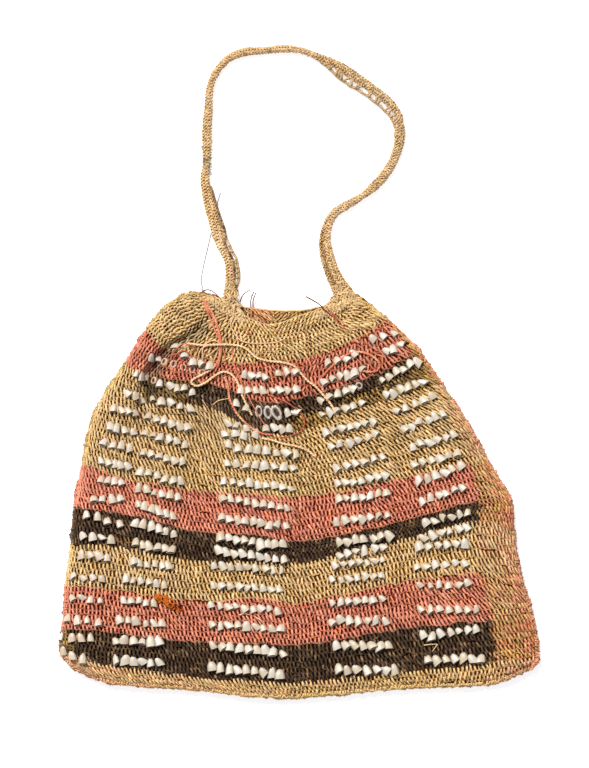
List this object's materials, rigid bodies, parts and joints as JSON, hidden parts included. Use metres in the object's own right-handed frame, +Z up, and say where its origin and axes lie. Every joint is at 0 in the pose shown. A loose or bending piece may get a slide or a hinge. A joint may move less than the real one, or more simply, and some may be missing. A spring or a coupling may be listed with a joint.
{
  "type": "looped string shoulder bag",
  "caption": "Looped string bag in natural, red and dark brown bands with rows of small shells, open at the top, with one long looped carrying strap; lies flat on its back.",
  "frame": {"origin": "on the floor, under the middle of the box around the bag and its strap", "axes": "+X to the right as the front is looked at from above, +Y from the bag's foot to the top of its strap, +Z up, out of the front"},
  "size_m": [0.454, 0.621, 0.0224],
  "materials": {
    "looped_string": "matt two-ply plant-fibre string, looped in dyed bands",
    "strap_string": "matt two-ply plant-fibre string, undyed",
    "tan_string": "matt undyed string",
    "red_string": "matt red-dyed string",
    "dark_string": "matt dark-dyed string",
    "shell": "smooth pale shell, slightly worn"
  },
  "bodies": {
    "root": {"pouch": "looped_string", "strap": "strap_string", "thread_corner": "red_string", "thread_red": "red_string", "thread_loop": "red_string", "thread_long": "tan_string", "thread_short": "tan_string"}
  },
  "joints": []
}
